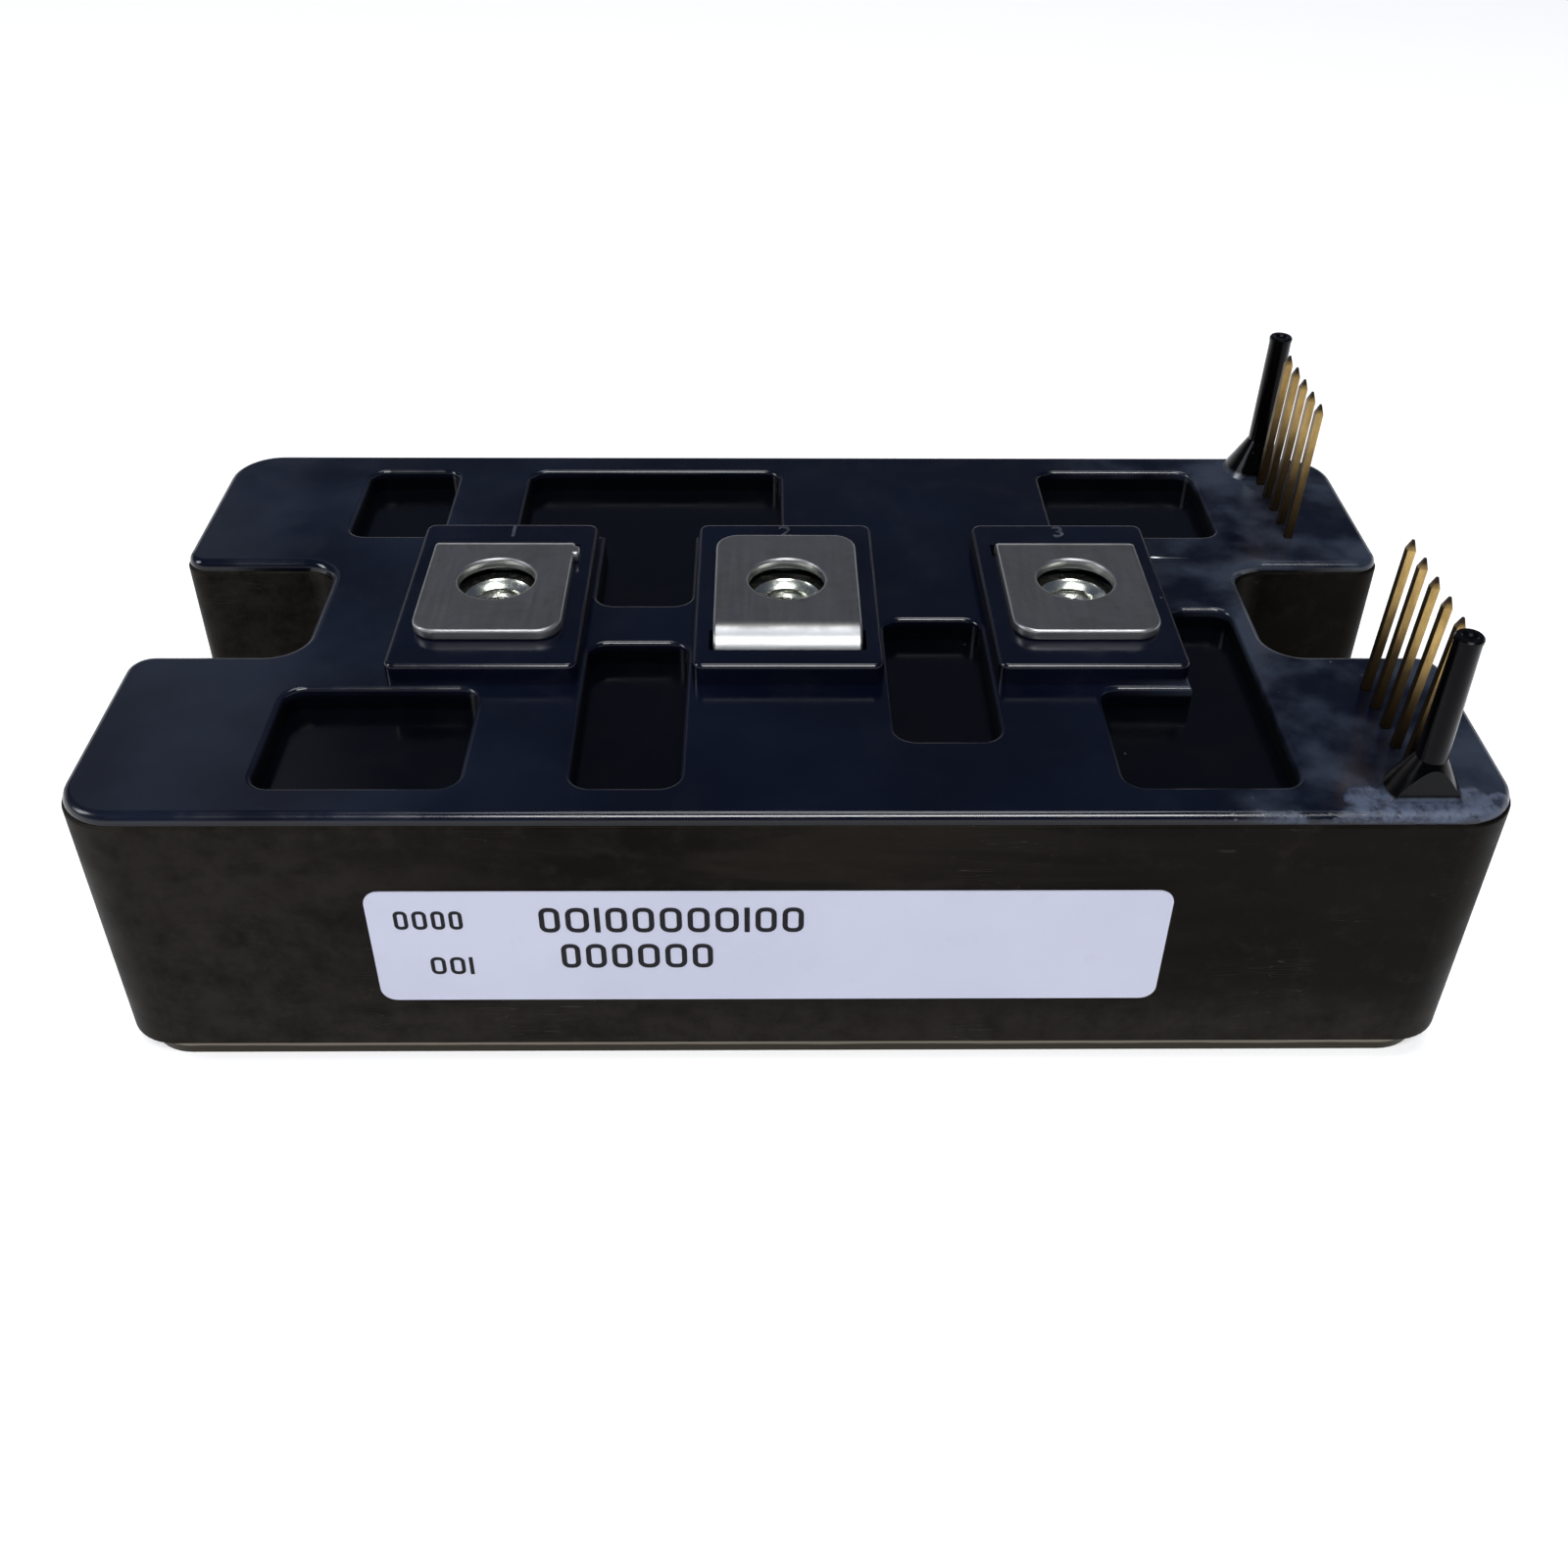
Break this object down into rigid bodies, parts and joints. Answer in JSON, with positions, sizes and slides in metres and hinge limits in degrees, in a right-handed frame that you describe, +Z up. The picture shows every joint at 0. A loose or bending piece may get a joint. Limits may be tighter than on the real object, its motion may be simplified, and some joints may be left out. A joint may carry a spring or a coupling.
{
  "type": "igbt module",
  "caption": "Power switching module: notched black case on a metal base plate, folded screw terminals over captive nuts, rows of gold control pins beside guide posts.",
  "frame": {"origin": "centre of the underside of the base plate", "axes": "+Z up away from the heatsink, +X along the length towards the control pins, -Y towards the label side"},
  "size_m": [0.106, 0.0561, 0.0388],
  "materials": {
    "nickel_plate": "nickel-plated copper, satin, lightly dulled",
    "case_plastic": "black filled resin, satin, mottled with fine scratches",
    "lid_plastic": "black moulded resin with a cool sheen, lightly smudged",
    "label_film": "pale lavender satin film with plain dark marks",
    "terminal_nickel": "satin nickel with bright sheared edges",
    "nut_zinc": "bright zinc plating",
    "pin_gold": "gold plating, dulled and darkened at the tips",
    "alumina": "white ceramic",
    "copper": "bare copper",
    "silicon": "metallised silicon",
    "aluminium_wire": "bright aluminium",
    "tinned_pin": "tinned copper",
    "board_laminate": "green circuit board",
    "chip_resin": "black chip resin",
    "capacitor_resin": "yellow moulded capacitor",
    "gel": "clear soft silicone gel"
  },
  "bodies": {
    "root": {"base_plate": "nickel_plate", "case_frame": "case_plastic", "lid": "lid_plastic", "rating_label": "label_film", "terminal_left": "terminal_nickel", "terminal_middle": "terminal_nickel", "terminal_right": "terminal_nickel", "nut_left": "nut_zinc", "nut_middle": "nut_zinc", "nut_right": "nut_zinc", "control_pin_1": "pin_gold", "control_pin_2": "pin_gold", "control_pin_3": "pin_gold", "control_pin_4": "pin_gold", "control_pin_5": "pin_gold", "control_pin_6": "pin_gold", "control_pin_7": "pin_gold", "control_pin_8": "pin_gold", "control_pin_9": "pin_gold", "control_pin_10": "pin_gold", "ceramic_left": "alumina", "ceramic_right": "alumina", "back_foil_left": "copper", "back_foil_right": "copper", "tracks_left": "copper", "tracks_right": "copper", "igbt_chip_1": "silicon", "igbt_chip_2": "silicon", "igbt_chip_3": "silicon", "igbt_chip_4": "silicon", "diode_chip_1": "silicon", "diode_chip_2": "silicon", "diode_chip_3": "silicon", "diode_chip_4": "silicon", "bond_wires_left": "aluminium_wire", "bond_wires_right": "aluminium_wire", "link_pins_left": "tinned_pin", "link_pins_right": "tinned_pin", "control_board": "board_laminate", "driver_ic_left": "chip_resin", "driver_ic_right": "chip_resin", "capacitor_left": "capacitor_resin", "capacitor_right": "capacitor_resin", "silicone_gel": "gel"}
  },
  "joints": []
}
